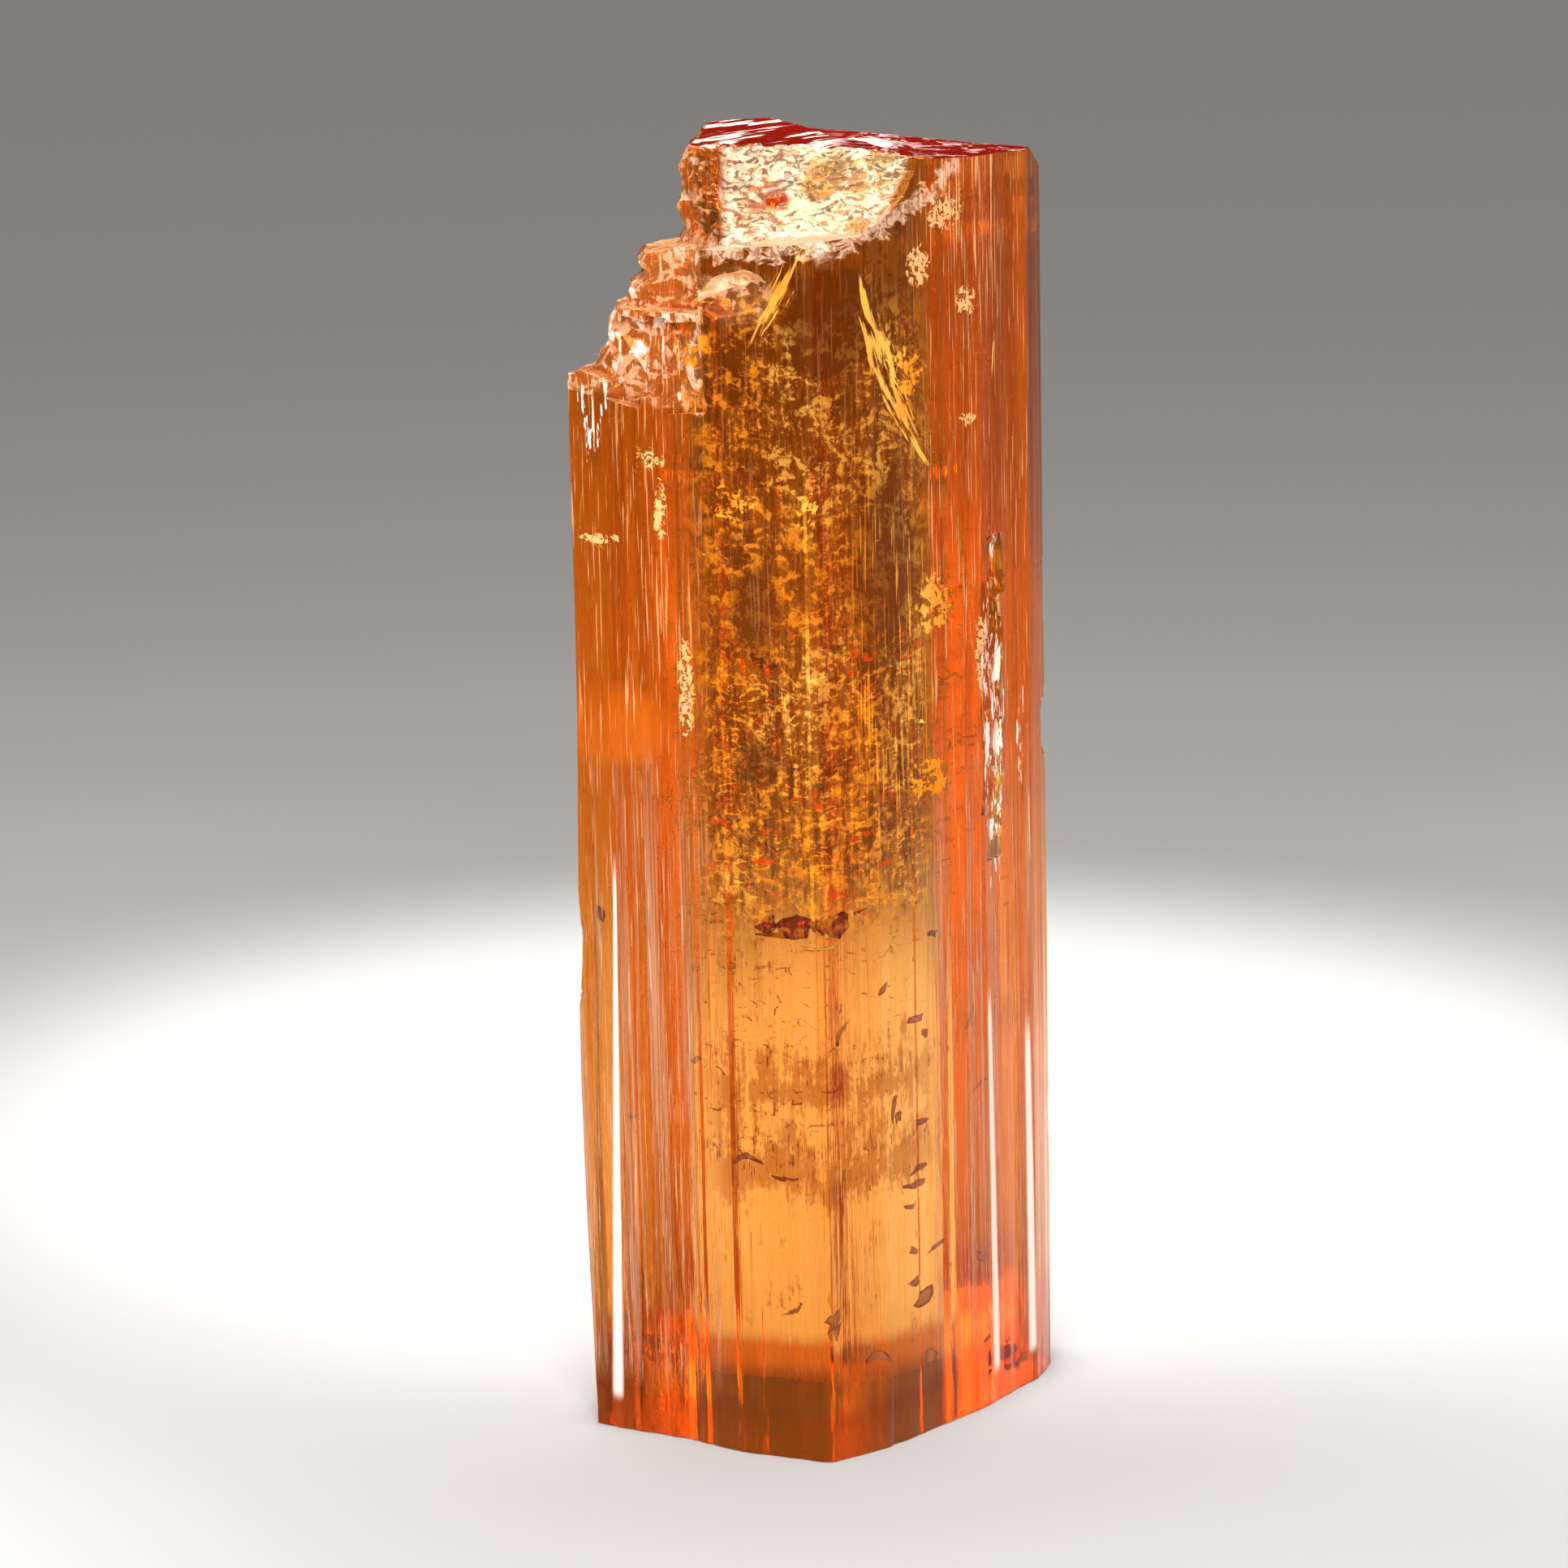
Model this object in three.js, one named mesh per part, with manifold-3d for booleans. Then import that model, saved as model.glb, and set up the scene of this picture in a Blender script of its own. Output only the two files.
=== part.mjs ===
// A natural topaz crystal: one stubby prism of rhombic section with grooved sides, standing on its
// flat basal cleavage. Its upper end is broken: a cleaved plateau, a conchoidal bite out of the front,
// and a stair of ledges down the left shoulder. Millimetres, +Z up. The crystal is worked out about its
// prism axis, and then moved a little so that the origin lies under the middle of its box.
import * as THREE from "three";
import { mergeVertices } from "three/addons/utils/BufferGeometryUtils.js";
import Module from "manifold-3d";

// Driving dimensions
const BLANK_HEIGHT = 48; // the prism before its top is broken off
const PLATEAU = 45.75; // height of the cleaved top on the prism axis
const RIGHT_SHEET = 44.97; // height of the lower sheet of the top, at its right edge
const PLATEAU_RISE = 0.035; // how much the top climbs towards the back, mm per mm
const PLATEAU_FALL = 0.055; // how much it falls towards the right, mm per mm
const SHELF = 42.6; // height of the shelf under the bite, at its left end
const LEDGE = 42.05; // height of the highest ledge on the left shoulder
const LEDGE_DIP = 0.035; // how much the ledges fall towards the back, mm per mm
const HALF_WIDTH = 8.4; // prism axis to the left and right edges
const FRONT_EDGE = 7.7; // prism axis to the front and back edges
const LEVELS = 8; // stretches up the prism over which a groove can deepen or fade
const GROOVE_PITCH = 0.42;
const GROOVE_DEPTH = 0.11;
const BELLY = 0.25; // how far the left edge swells out low down
const BASE_BEVEL = 0.12; // wear round the rim of the base

// Prism edges from the left one round the front to the right one. The crystal has two-fold symmetry
// about its axis, so the same edges turned half round make the back.
const FRONT_EDGES = [
  [-HALF_WIDTH, -2.9],
  [-7.45, -3.55],
  [-5.1, -4.85],
  [-3.3, -6.3],
  [-0.06, -FRONT_EDGE],
  [0.75, -7.45],
  [2.1, -6.2],
  [5.98, -1.75],
  [6.95, -0.1],
  [7.75, 1.0],
];

// Profile of the stair on the left shoulder, in x and z, from the foot of the lowest ledge up to the
// plateau.
const STAIR = [
  [-8.45, 37.4],
  [-8.1, 37.95],
  [-7.35, 38.1],
  [-7.15, 38.45],
  [-6.8, 38.85],
  [-6.72, 39.8],
  [-6.45, 40.2],
  [-6.1, 40.35],
  [-6.05, 40.8],
  [-5.62, 41.1],
  [-5.55, 41.4],
  [-5.85, 41.75],
  [-5.55, LEDGE],
  [-4.4, LEDGE + 0.2],
  [-4.1, 42.9],
  [-4.3, 43.6],
  [-4.05, 44.4],
  [-4.2, 45.0],
  [-3.95, 45.6],
  [-3.4, 46.2],
];

const wasm = await Module();
wasm.setup();

// Repeatable random numbers from 0 to 1.
function seeded(seed) {
  let state = seed;
  return () => {
    state = (state + 0x6d2b79f5) | 0;
    let t = Math.imul(state ^ (state >>> 15), 1 | state);
    t = (t + Math.imul(t ^ (t >>> 7), 61 | t)) ^ t;
    return ((t ^ (t >>> 14)) >>> 0) / 4294967296;
  };
}

// Reduces a geometry to shared positions and moves each one by up to `amount` along each axis.
function roughened(geometry, amount, seed) {
  geometry.deleteAttribute("normal");
  geometry.deleteAttribute("uv");
  const merged = mergeVertices(geometry, 1e-4);
  const random = seeded(seed);
  const position = merged.attributes.position;
  for (let i = 0; i < position.count; i++) {
    position.setXYZ(
      i,
      position.getX(i) + (2 * random() - 1) * amount.x,
      position.getY(i) + (2 * random() - 1) * amount.y,
      position.getZ(i) + (2 * random() - 1) * amount.z,
    );
  }
  return merged;
}

const smooth = new THREE.Vector3(0, 0, 0);

function solid(geometry) {
  const merged = roughened(geometry, smooth, 1);
  return new wasm.Manifold(
    new wasm.Mesh({
      numProp: 3,
      vertProperties: new Float32Array(merged.attributes.position.array),
      triVerts: new Uint32Array(merged.index.array),
    }),
  );
}

// ---- The grooved prism ----

// Points round the prism: each face is divided into narrow strips whose seams stand proud or sink in
// turn, which makes the grooves that run the length of the crystal.
function grooveSeams() {
  const edges = [
    ...FRONT_EDGES,
    ...FRONT_EDGES.map(([x, y]) => [-x, -y]),
  ].map(([x, y]) => new THREE.Vector2(x, y));
  const random = seeded(7);
  const seams = [];
  edges.forEach((start, i) => {
    const end = edges[(i + 1) % edges.length];
    const along = end.clone().sub(start);
    const outward = new THREE.Vector2(along.y, -along.x).normalize();
    const strips = Math.max(1, Math.round(along.length() / GROOVE_PITCH));
    for (let k = 0; k < strips; k++) {
      const onEdge = k === 0;
      const slip = onEdge ? 0 : 0.8 * (random() - 0.5);
      seams.push({
        at: start.clone().addScaledVector(along, (k + slip) / strips),
        outward,
        depth: onEdge ? 0 : GROOVE_DEPTH * (k % 2 ? random() : 0.25 * random()),
      });
    }
  });
  return seams;
}

function prismBlank() {
  const seams = grooveSeams();
  const shape = new THREE.Shape(seams.map((seam) => seam.at));
  const geometry = new THREE.ExtrudeGeometry(shape, {
    depth: BLANK_HEIGHT,
    steps: LEVELS,
    bevelEnabled: false,
  });
  // Each seam sinks by its own amount at each level, and the section follows the belly and the bevel.
  const random = seeded(11);
  const sink = seams.map((seam) =>
    Array.from({ length: LEVELS + 1 }, () => seam.depth * (0.85 + 0.3 * random())),
  );
  const position = geometry.attributes.position;
  const here = new THREE.Vector2();
  for (let i = 0; i < position.count; i++) {
    const z = position.getZ(i);
    here.set(position.getX(i), position.getY(i));
    const seam = seams.findIndex((s) => s.at.distanceToSquared(here) < 1e-6);
    const level = Math.round((z / BLANK_HEIGHT) * LEVELS);
    const bevel = level === 0 ? BASE_BEVEL : 0;
    here.addScaledVector(seams[seam].outward, -sink[seam][level] - bevel);
    const leftness = Math.max(0, -here.x / HALF_WIDTH) ** 3;
    const low = Math.sin(Math.PI * Math.min(1, (z + 4) / 34)) ** 2;
    position.setXY(i, here.x - BELLY * leftness * low, here.y);
  }
  return solid(geometry);
}

// ---- The broken end ----

// The turn about X, then Y, then Z, in degrees.
function turned(angles) {
  const [x, y, z] = angles.map(THREE.MathUtils.degToRad);
  return new THREE.Matrix4().makeRotationFromEuler(new THREE.Euler(x, y, z, "ZYX"));
}

// A box of material broken away. It is divided finely enough for its faces to be uneven. Level faces
// follow the crystal's cleavage, so they stay flatter than the upright ones.
function brokenBox({ centre, size, turn = [0, 0, 0], cell = 1.1, uneven = 0.1, seed }) {
  const cuts = size.map((length) => Math.max(1, Math.round(length / cell)));
  const geometry = roughened(
    new THREE.BoxGeometry(...size, ...cuts),
    new THREE.Vector3(uneven, uneven, 0.15 * uneven),
    seed,
  );
  return solid(geometry.applyMatrix4(turned(turn)).translate(...centre));
}

// A shell-shaped scar: an uneven ellipsoid of material broken away.
function scar({ centre, radii, turn = [0, 0, 0], detail = 3, uneven = 0.03, seed }) {
  const geometry = roughened(
    new THREE.IcosahedronGeometry(1, detail),
    new THREE.Vector3(uneven, uneven, uneven),
    seed,
  );
  return solid(geometry.scale(...radii).applyMatrix4(turned(turn)).translate(...centre));
}

// The point at a given x on the front of the prism, the way out of it, and the turn about Z of its face.
function frontAt(x) {
  const next = FRONT_EDGES.findIndex(([edgeX]) => edgeX > x);
  const [[x0, y0], [x1, y1]] = [FRONT_EDGES[next - 1], FRONT_EDGES[next]];
  const along = new THREE.Vector2(x1 - x0, y1 - y0).normalize();
  return {
    point: new THREE.Vector2(x, THREE.MathUtils.mapLinear(x, x0, x1, y0, y1)),
    outward: new THREE.Vector2(along.y, -along.x),
    face: THREE.MathUtils.radToDeg(along.angle()),
  };
}

// A flat-sided splinter off the front at x, from the height `floor` up, leaving a wall `depth` behind
// the face. The wall may lean back, skew to one side and spin off the upright.
function splinter({ x, floor, width, height, depth, lean = 0, skew = 0, spin = 0, seed }) {
  const thickness = 3;
  const { point, outward, face } = frontAt(x);
  const middle = point.clone().addScaledVector(outward, thickness / 2 - depth);
  return brokenBox({
    centre: [middle.x, middle.y, floor + height / 2],
    size: [width, thickness, height],
    turn: [lean, spin, face + skew],
    cell: 0.8,
    uneven: 0.1,
    seed,
  });
}

// Everything above the cleaved plateau: the main plane, and a lower sheet on the right of it.
function aboveThePlateau() {
  const lid = 6;
  const turn = [PLATEAU_RISE, PLATEAU_FALL].map((slope) => THREE.MathUtils.radToDeg(Math.atan(slope)));
  const main = brokenBox({
    centre: [0, 0, PLATEAU + lid / 2],
    size: [24, 24, lid],
    turn: [...turn, 0],
    cell: 24,
    uneven: 0,
    seed: 21,
  });
  const right = brokenBox({
    centre: [8.6, 0.5, RIGHT_SHEET + lid / 2],
    size: [13, 22, lid],
    turn: [...turn, 22],
    cell: 2,
    uneven: 0.3,
    seed: 22,
  });
  return [main, right];
}

// Everything outside the stair on the left shoulder, as one profile run from front to back.
function outsideTheStair() {
  const outline = [...STAIR, [-3.3, 52], [-13, 52], [-13, STAIR[0][1] - 0.2]];
  const length = 22;
  const geometry = new THREE.ExtrudeGeometry(
    new THREE.Shape(outline.map(([x, z]) => new THREE.Vector2(x, z))),
    { depth: length, steps: 18, bevelEnabled: false },
  );
  geometry.rotateX(Math.PI / 2).translate(0, length / 2, 0);
  const dip = new THREE.Matrix4().makeShear(0, 0, 0, -LEDGE_DIP, 0, 0);
  return solid(roughened(geometry.applyMatrix4(dip), new THREE.Vector3(0.16, 0.1, 0.06), 31));
}

// The bite: a shell-shaped hollow over a shelf. It stops at an upright column on its left, whose front
// is split back from the face too.
function frontBite() {
  const hollows = [
    { centre: [0.95, -7.4, 45.9], radii: [4.35, 4.4, 3.0], turn: [0, 4, 14], detail: 6, seed: 41 },
    { centre: [-0.7, -7.0, 45.2], radii: [3.6, 3.7, 3.4], turn: [0, 0, -20], detail: 5, seed: 44 },
  ].map(scar);
  const height = 8;
  const rightOfColumn = brokenBox({
    centre: [3.2, -6, SHELF + 0.35 + height / 2],
    size: [12, 14, height],
    turn: [0, -4, 8],
    cell: 1.2,
    uneven: 0.14,
    seed: 42,
  });
  const frontOfColumn = splinter({
    x: -4.4,
    floor: SHELF - 0.15,
    width: 4.6,
    height: 6,
    depth: 1.5,
    seed: 43,
  });
  return [...hollows.map((hollow) => hollow.intersect(rightOfColumn)), frontOfColumn];
}

// Scars on the upper front left, under the ledges.
function shoulderScars() {
  const splinters = [
    // in front of the block under the highest ledge, down to the ledge below it
    { x: -5.2, floor: 40.25, width: 3.5, height: 3.2, depth: 0.8, lean: 3, seed: 51 },
    // the hollow over the curved lip of the lowest ledge, from left to right
    { x: -6.9, floor: 37.7, width: 1.6, height: 2.2, depth: 0.55, skew: -12, spin: 24, seed: 52 },
    { x: -6.0, floor: 37.0, width: 1.4, height: 3.0, depth: 0.75, skew: 10, spin: 14, seed: 53 },
    { x: -4.5, floor: 36.85, width: 1.6, height: 3.1, depth: 0.5, skew: -10, spin: -5, seed: 54 },
    // the deep upright wedge in the middle of it
    { x: -5.2, floor: 37.3, width: 0.75, height: 2.8, depth: 1.15, skew: 18, spin: 5, seed: 55 },
  ];
  const { point, face } = frontAt(-2.75);
  const shell = {
    centre: [point.x, point.y - 0.15, 40.95],
    radii: [1.6, 0.75, 0.8],
    turn: [0, -18, face],
    seed: 56,
  };
  return [...splinters.map(splinter), scar(shell)];
}

// ---- Wear down the length ----

function edgeChips() {
  const chips = [
    // left edge
    { centre: [-9.45, -3.1, 17.9], radii: [1.2, 2.2, 3.6], seed: 61 },
    { centre: [-8.95, -2.6, 32.4], radii: [0.62, 1.1, 0.7], seed: 62 },
    // right edge
    { centre: [9.4, 2.7, 29.0], radii: [1.2, 2.0, 2.4], seed: 63 },
    { centre: [9.45, 2.7, 24.3], radii: [1.4, 2.0, 2.3], seed: 64 },
    { centre: [9.3, 2.8, 9.6], radii: [1.1, 1.6, 1.6], seed: 65 },
    // top right corner
    { centre: [9.5, 3.2, 45.9], radii: [1.9, 3.6, 2.2], seed: 66 },
    // back edge
    { centre: [0.4, 8.6, 33.0], radii: [1.6, 1.35, 2.8], turn: [0, 0, 10], seed: 67 },
    { centre: [-0.7, 8.3, 12.0], radii: [1.1, 0.9, 1.5], seed: 68 },
    // rim of the base
    { centre: [3.9, 5.9, -0.3], radii: [1.9, 1.2, 1.0], turn: [0, 0, -40], seed: 69 },
  ];
  return chips.map((chip) => scar({ ...chip, detail: 2, uneven: 0.05 }));
}

// The ragged groove that runs down the right front face: a row of splinters, one below the other.
function rightGroove() {
  const random = seeded(71);
  const [top, bottom, count] = [31.2, 20.2, 7];
  const pitch = (top - bottom) / count;
  return Array.from({ length: count }, (_, i) =>
    splinter({
      x: 6.35 + 0.2 * (random() - 0.5),
      floor: top - (i + 1) * pitch,
      width: 0.95 + 0.45 * random(),
      height: pitch * (1.2 + 0.3 * random()),
      depth: 0.26 + 0.2 * random(),
      lean: 6 * (random() - 0.5),
      skew: 26 * (random() - 0.5),
      spin: 14 * (random() - 0.5),
      seed: 72 + i,
    }),
  );
}

// ---- Assembly ----

function crystalGeometry() {
  const away = [
    ...aboveThePlateau(),
    outsideTheStair(),
    ...frontBite(),
    ...shoulderScars(),
    ...edgeChips(),
    ...rightGroove(),
  ];
  const crystal = away.reduce((body, piece) => body.subtract(piece), prismBlank());
  const mesh = crystal.getMesh();
  const geometry = new THREE.BufferGeometry()
    .setAttribute("position", new THREE.BufferAttribute(mesh.vertProperties, 3))
    .setIndex(new THREE.BufferAttribute(mesh.triVerts, 1));
  geometry.computeBoundingBox();
  const middle = geometry.boundingBox.getCenter(new THREE.Vector3());
  return geometry.translate(-middle.x, -middle.y, -geometry.boundingBox.min.z);
}

const topaz = new THREE.MeshStandardMaterial({ color: 0xd9741c, roughness: 0.06, metalness: 0 });
const crystal = new THREE.Mesh(crystalGeometry(), topaz);
crystal.name = "topaz_crystal";

const part = new THREE.Group();
part.add(crystal);
export default part;
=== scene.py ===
# A natural topaz crystal on a pale studio floor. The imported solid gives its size, its place and its
# broken form. The fine grooves, the see-through stone and what is enclosed in it are made here.
import math

import bmesh
import bpy
import numpy as np
from mathutils import Matrix, Vector, noise


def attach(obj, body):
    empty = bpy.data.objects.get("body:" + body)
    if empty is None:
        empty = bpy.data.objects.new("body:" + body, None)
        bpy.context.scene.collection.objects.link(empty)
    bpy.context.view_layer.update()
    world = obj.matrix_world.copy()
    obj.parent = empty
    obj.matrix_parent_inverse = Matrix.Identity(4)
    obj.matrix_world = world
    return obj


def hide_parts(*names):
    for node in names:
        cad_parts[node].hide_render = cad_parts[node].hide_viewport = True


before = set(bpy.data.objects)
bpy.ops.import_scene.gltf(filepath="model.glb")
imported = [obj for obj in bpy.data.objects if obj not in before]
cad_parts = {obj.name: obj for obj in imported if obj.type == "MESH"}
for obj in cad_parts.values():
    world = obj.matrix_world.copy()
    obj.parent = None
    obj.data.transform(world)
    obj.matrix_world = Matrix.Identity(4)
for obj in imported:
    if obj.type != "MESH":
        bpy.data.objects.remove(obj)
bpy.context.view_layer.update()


# ---- The crystal ----
# One prism of topaz, orange and clear, as it grew: every side face is made of narrow strips that run
# its whole length. Its upper end is broken across, so ledges and shell-shaped hollows show there.

MM = 0.001
AXIS = 0.124  # millimetres that the prism axis stands to the right of the middle of its box
AXIS_X = AXIS * MM
BELLY = 0.25 * MM  # how far the left edge swells out low down
HALF_WIDTH = 8.4 * MM
TALL = 46.2 * MM
STRIP_EDGE = 9  # degrees between faces from which the edge between them is sharp
# Edges of the prism round one side. Turned half round they are the other side's, but for the middle
# edge, which is a narrow bevel in front and a wider one behind.
SIDE_EDGES = [(-8.4, -2.9), (-7.45, -3.55), (-5.1, -4.85), (-3.3, -6.3)]
FRONT_BEVEL = [(-0.2, -7.66), (0.1, -7.66)]
BACK_BEVEL = [(-0.06, -7.7), (0.75, -7.45)]
OTHER_EDGES = [(2.1, -6.2), (5.98, -1.75), (6.95, -0.1), (7.75, 1.0)]


def solid_triangles(node):
    """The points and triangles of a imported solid, with points that lie on each other joined."""
    source = bmesh.new()
    source.from_mesh(node.data)
    bmesh.ops.remove_doubles(source, verts=source.verts, dist=0.002 * MM)
    bmesh.ops.triangulate(source, faces=source.faces)
    source.verts.index_update()
    points = np.array([v.co for v in source.verts])
    triangles = np.array([[v.index for v in f.verts] for f in source.faces])
    source.free()
    return points, triangles


def sliced(points, triangles, kinds, kind, axis, level):
    """Cuts the triangles of one kind that cross a plane into three. A neighbour of another kind is cut
    where it shares a cut edge, so that the mesh stays closed."""
    above = points[:, axis] > level
    count = above[triangles].sum(axis=1)
    crossing = (count == 1) | (count == 2)
    corners, own = triangles[crossing], kinds[crossing]
    after = np.roll(corners, -1, axis=1)
    crossed = above[corners] != above[after]
    key = np.minimum(corners, after) * len(points) + np.maximum(corners, after)
    wanted = np.unique(key[crossed & (own == kind)[:, None]])
    if not len(wanted):
        return points, triangles, kinds
    start, end = points[wanted // len(points)], points[wanted % len(points)]
    share = (level - start[:, axis]) / (end[:, axis] - start[:, axis])
    place = np.minimum(np.searchsorted(wanted, key), len(wanted) - 1)
    cut = crossed & (wanted[place] == key)
    place += len(points)
    points = np.concatenate([points, start + share[:, None] * (end - start)])
    number = cut.sum(axis=1)
    made, made_kinds = [triangles[~crossing], corners[number == 0]], [kinds[~crossing], own[number == 0]]

    rows = np.nonzero(number == 1)[0]
    k = cut[rows].argmax(axis=1)
    a, b, c = (corners[rows, (k + step) % 3] for step in range(3))
    middle = place[rows, k]
    made += [np.stack([a, middle, c], 1), np.stack([middle, b, c], 1)]
    made_kinds += [own[rows]] * 2

    rows = np.nonzero(number == 2)[0]
    k = (cut[rows] & np.roll(cut[rows], 1, axis=1)).argmax(axis=1)
    a, b, c = (corners[rows, (k + step) % 3] for step in range(3))
    ab, ac = place[rows, k], place[rows, (k + 2) % 3]
    to_c = np.linalg.norm(points[ab] - points[c], axis=1)
    to_b = np.linalg.norm(points[ac] - points[b], axis=1)
    short = (to_c < to_b)[:, None]
    made += [
        np.stack([a, ab, ac], 1),
        np.where(short, np.stack([ab, b, c], 1), np.stack([ab, b, ac], 1)),
        np.where(short, np.stack([ab, c, ac], 1), np.stack([b, c, ac], 1)),
    ]
    made_kinds += [own[rows]] * 3
    return points, np.concatenate(made), np.concatenate(made_kinds)


def spread_levels(rng, low, high, pitch):
    """Levels about a pitch apart, each a little off its even place."""
    count = int((high - low) / pitch)
    return low + (np.arange(count) + 0.5 + 0.7 * (rng.random(count) - 0.5)) * (high - low) / count


def eased(x, low, high):
    """0 below one value and 1 above the other, with a soft change between them."""
    t = np.clip((x - low) / (high - low), 0, 1)
    return t * t * (3 - 2 * t)


# The prism's section, as the distance from the axis to its side faces at any angle.
front, back = (np.array(SIDE_EDGES + bevel + OTHER_EDGES) * MM for bevel in (FRONT_BEVEL, BACK_BEVEL))
section = np.concatenate([front, -back])
turn = np.arctan2(section[:, 1], section[:, 0])
section, turn = np.roll(section, -turn.argmin(), axis=0), np.roll(turn, -turn.argmin())
following = np.roll(section, -1, axis=0)
twice_area = section[:, 0] * following[:, 1] - section[:, 1] * following[:, 0]
slopes = np.stack([following[:, 1] - section[:, 1], section[:, 0] - following[:, 0]], 1)
slopes = slopes / twice_area[:, None]


def belly(x, z):
    """How far the left side swells out: the most at 13 mm up, and nothing from 30 mm up."""
    leftness = np.maximum(0, -x / HALF_WIDTH) ** 3
    return BELLY * leftness * np.sin(np.pi * np.minimum(1, (z / MM + 4) / 34)) ** 2


def about_axis(points):
    """Each point's plan position about the prism axis without the belly, its angle, its distance from
    the axis, and the distance of the prism's section there."""
    swell = belly(points[:, 0] - AXIS_X, points[:, 2])
    plan = np.stack([points[:, 0] - AXIS_X + swell, points[:, 1]], 1)
    theta = np.arctan2(plan[:, 1], plan[:, 0])
    face = (np.searchsorted(turn, theta, side="right") - 1) % len(turn)
    outer = 1 / np.maximum(slopes[face, 0] * np.cos(theta) + slopes[face, 1] * np.sin(theta), 1)
    return plan, swell, theta, face, np.hypot(plan[:, 0], plan[:, 1]), outer


rng = np.random.default_rng(5)
noise.seed_set(5)  # without a seed of its own, noise_vector gives other values in each run
points, triangles = solid_triangles(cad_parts["topaz_crystal"])
low, high = points.min(axis=0), points.max(axis=0)
base = (points[triangles][:, :, 2] < 0.01 * MM).all(axis=1)
triangles = triangles[~base]
*_, radius, outer = about_axis(points)
corners = points[triangles]
across = np.cross(corners[:, 1] - corners[:, 0], corners[:, 2] - corners[:, 0])
upright = np.abs(across[:, 2]) < 0.25 * np.linalg.norm(across, axis=1)
BROKEN = 36.6 * MM  # nothing is broken off the front below this height, where only wear shows
GROWN, TORN, WORN = 0, 1, 2
kinds = np.where(corners[:, :, 2].max(axis=1) > BROKEN, TORN, WORN)
kinds[upright & ((outer - radius)[triangles] < 0.2 * MM).all(axis=1)] = GROWN
for kind, axis, pitch in [
    (GROWN, 0, 0.14 * MM),
    (GROWN, 1, 0.14 * MM),
    (GROWN, 2, 2.4 * MM),
    (TORN, 0, 0.25 * MM),
    (TORN, 1, 0.25 * MM),
    (TORN, 2, 0.25 * MM),
    (WORN, 0, 0.4 * MM),
    (WORN, 1, 0.4 * MM),
    (WORN, 2, 0.6 * MM),
]:
    for level in spread_levels(rng, low[axis], high[axis], pitch):
        points, triangles, kinds = sliced(points, triangles, kinds, kind, axis, level)


# The side faces: each point goes out to the prism's section, less the depth of the strip it lies on.
def strip_depths(angle, height, count, deepest, wander, rng):
    """Depths of strips round the prism: straight between their seams, and changing slowly upwards."""
    levels = 9
    steady = rng.random(count)
    table = (1 - wander) * steady + wander * rng.random((levels, count))
    seams = np.sort((np.arange(count) + 0.9 * rng.random(count)) / count)
    at = np.searchsorted(seams, angle) % count
    before = (at - 1) % count
    gap = (seams[at] - seams[before]) % 1
    tx = ((angle - seams[before]) % 1) / gap
    up = np.clip(height, 0, 0.9999) * (levels - 1)
    row = up.astype(int)
    tz = up - row
    low = (1 - tx) * table[row, before] + tx * table[row, at]
    high = (1 - tx) * table[row + 1, before] + tx * table[row + 1, at]
    return deepest * ((1 - tz) * low + tz * high)


plan, swell, theta, face, radius, outer = about_axis(points)
skin = 1 - eased(outer - radius, 0.17 * MM, 0.4 * MM)
angle, height = (theta / (2 * math.pi)) % 1, points[:, 2] / TALL
wide_front = [k for k in range(len(turn)) if abs(section[k, 0]) < 3.5 * MM and section[k, 1] < 0]
strength = np.where(np.isin(face, wide_front), 0.55, 1.0)
depth = (
    strip_depths(angle, height, 110, 0.085 * MM, 0.15, rng)
    + strip_depths(angle, height, 330, 0.026 * MM, 0.2, rng)
    + strip_depths(angle, height, 900, 0.008 * MM, 0.3, rng)
) * strength
scale = (1 - skin) + skin * (outer - depth) / np.maximum(radius, 1 * MM)
points[:, 0] = plan[:, 0] * scale + AXIS_X - swell
points[:, 1] = plan[:, 1] * scale


# The broken end: shell ripples in the bite, and a rough, torn grain everywhere else.
def point_normals(points, triangles):
    """The way that each point faces, from the triangles round it."""
    a, b, c = (points[triangles[:, k]] for k in range(3))
    across = np.cross(b - a, c - a)
    normals = np.zeros_like(points)
    for k in range(3):
        np.add.at(normals, triangles[:, k], across)
    return normals / np.maximum(np.linalg.norm(normals, axis=1), 1e-30)[:, None]


def triangle_sides(triangles):
    """The two points of each side of each triangle."""
    return np.concatenate([triangles[:, [0, 1]], triangles[:, [1, 2]], triangles[:, [2, 0]]])


def rounded(points, triangles, share, times):
    """Moves each point towards the mean of its neighbours, by its own share."""
    edges = triangle_sides(triangles)
    count = np.bincount(edges[:, 0], minlength=len(points)).astype(float)
    for _ in range(times):
        total = np.zeros_like(points)
        np.add.at(total, edges[:, 0], points[edges[:, 1]])
        mean = total / np.maximum(count, 1)[:, None]
        points = points + share[:, None] * (mean - points)
    return points


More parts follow.
